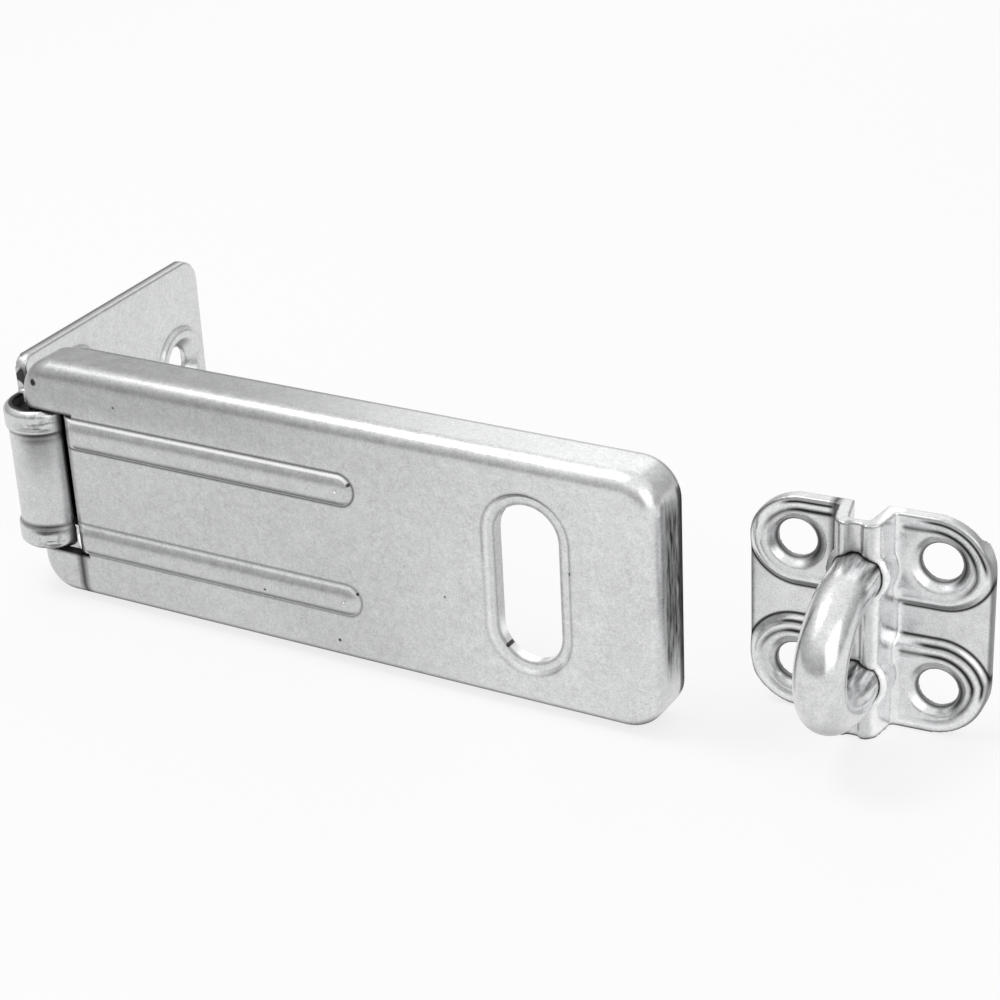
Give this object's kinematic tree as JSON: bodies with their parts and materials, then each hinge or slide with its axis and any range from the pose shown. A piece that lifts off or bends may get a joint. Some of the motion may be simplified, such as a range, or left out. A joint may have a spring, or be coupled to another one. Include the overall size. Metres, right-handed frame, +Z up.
{
  "type": "security hasp",
  "caption": "Pressed steel security hasp: ribbed cover leaf with a slot on a concealed hinge plate, and a plate staple that takes a padlock.",
  "frame": {"origin": "in the middle of the hinge plate's back, the flat face that lies on the door", "axes": "+Z up, parallel to the hinge pin; +X out of the door, square to the hinge plate, the way the leaf reaches (3.2 degrees past square); +Y along the hinge plate, away from the pin"},
  "size_m": [0.1621, 0.0698, 0.0417],
  "materials": {
    "zinc_plate": "bright zinc plating on pressed steel, softly grained",
    "zinc_bar": "bright zinc plating on a round steel bar"
  },
  "bodies": {
    "fixed": {"hinge_plate": "zinc_plate", "staple_plate": "zinc_plate", "staple_bar": "zinc_bar"},
    "leaf": {"cover_leaf": "zinc_plate", "hinge_pin": "zinc_plate"}
  },
  "joints": [
    {"name": "leaf_hinge", "type": "hinge", "parent": "fixed", "child": "leaf", "pos_m": [0.00605, -0.02785, 0], "axis": [0, 0, 1], "range_deg": [-32, 93]}
  ]
}
